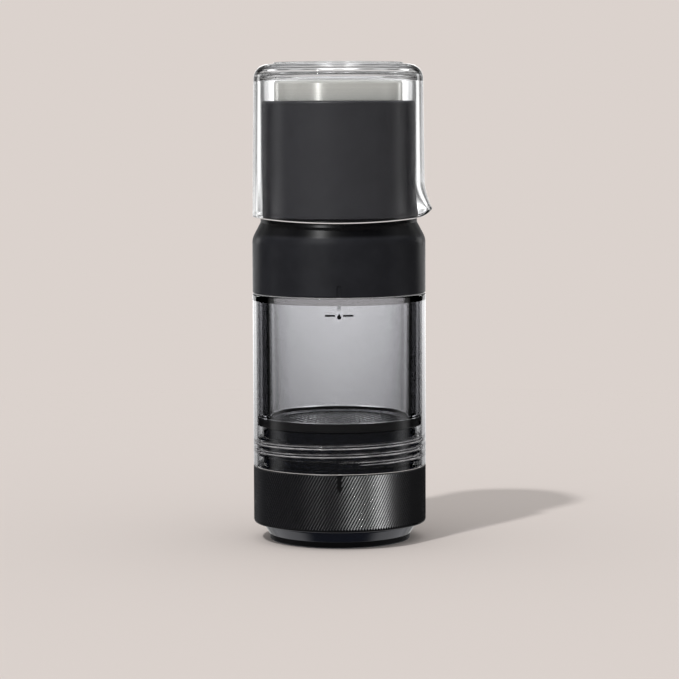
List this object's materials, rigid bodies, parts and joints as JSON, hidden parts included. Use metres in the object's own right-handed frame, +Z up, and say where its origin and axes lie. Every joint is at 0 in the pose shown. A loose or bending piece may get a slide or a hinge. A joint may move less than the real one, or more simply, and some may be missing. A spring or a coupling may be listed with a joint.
{
  "type": "manual pump coffee brewer",
  "caption": "Small upright pump coffee brewer stacked for storage: knurled base, clear water chamber, black pump collar and handle, clear carafe inverted on top.",
  "frame": {"origin": "middle of the foot's lower face, on the axis of the brewer, which is the level that it stands on", "axes": "+Z up along the axis of the brewer; -Y towards the front, where the fill mark and the alignment marks are; +X to the right seen from the front, where the carafe's spout points"},
  "size_m": [0.0794, 0.0762, 0.21],
  "materials": {
    "black_moulding": "black moulded plastic with a slight gloss",
    "knurled_black": "black with a crisp diagonal knurl that catches the light",
    "black_satin": "satin black moulding with a very fine grain",
    "grey_satin": "dark grey satin sleeve",
    "satin_nickel": "satin nickel with faint turned lines",
    "stainless_steel": "plain stainless steel",
    "smoke_clear": "clear copolyester with a faint smoke tint, polished",
    "clear_glass": "clear, polished, with a heavy base",
    "black_silicone": "matte black silicone",
    "grey_silicone": "dark grey silicone",
    "white_silicone": "translucent white silicone",
    "white_acetal": "natural acetal",
    "black_print": "printed black ink"
  },
  "bodies": {
    "base": {"foot_ring": "black_silicone", "brew_basket": "black_moulding", "grip_ring": "knurled_black", "filter_support": "black_moulding", "filter_disc": "stainless_steel", "filter_gasket": "grey_silicone", "filter_snap_ring": "stainless_steel"},
    "basket_seal": {"basket_seal": "grey_silicone"},
    "chamber": {"chamber_sleeve": "smoke_clear", "water_vessel": "smoke_clear", "fill_mark": "black_print", "vessel_carrier_ring": "black_silicone", "shower_plate": "black_moulding"},
    "lid_seal": {"lid_seal": "grey_silicone"},
    "pump_lid": {"collar": "black_satin", "pump_cylinder": "black_satin", "flange_screws": "stainless_steel", "outlet_valve": "white_silicone", "cylinder_head": "black_satin", "rod_bush": "white_acetal"},
    "handle": {"piston": "black_moulding", "piston_seal": "grey_silicone", "piston_screw": "stainless_steel", "piston_rod": "stainless_steel", "handle_core": "black_moulding", "rod_screw": "stainless_steel", "handle_sleeve": "grey_satin", "handle_cap": "satin_nickel"},
    "carafe": {"carafe": "clear_glass"}
  },
  "joints": [
    {"name": "chamber_rise", "type": "slide", "parent": "base", "child": "basket_seal", "axis": [0, 0, 1], "range_m": [0, 0.01065]},
    {"name": "chamber_unscrew", "type": "hinge", "parent": "basket_seal", "child": "chamber", "pos_m": [0, 0, 0.053], "axis": [0, 0, 1], "range_deg": [0, 1080]},
    {"name": "lid_lift", "type": "slide", "parent": "chamber", "child": "lid_seal", "axis": [0, 0, 1], "range_m": [0, 0.04]},
    {"name": "lid_twist", "type": "hinge", "parent": "lid_seal", "child": "pump_lid", "pos_m": [0, 0, 0.1122], "axis": [0, 0, -1], "range_deg": [0, 40]},
    {"name": "handle_pump", "type": "slide", "parent": "pump_lid", "child": "handle", "axis": [0, 0, 1], "range_m": [0, 0.045]},
    {"name": "carafe_lift", "type": "slide", "parent": "handle", "child": "carafe", "axis": [0, 0, 1], "range_m": [0, 0.075]}
  ],
  "couplings": [
    {"joint": "chamber_rise", "follows": "chamber_unscrew", "m_per_rad": 0.000565}
  ]
}
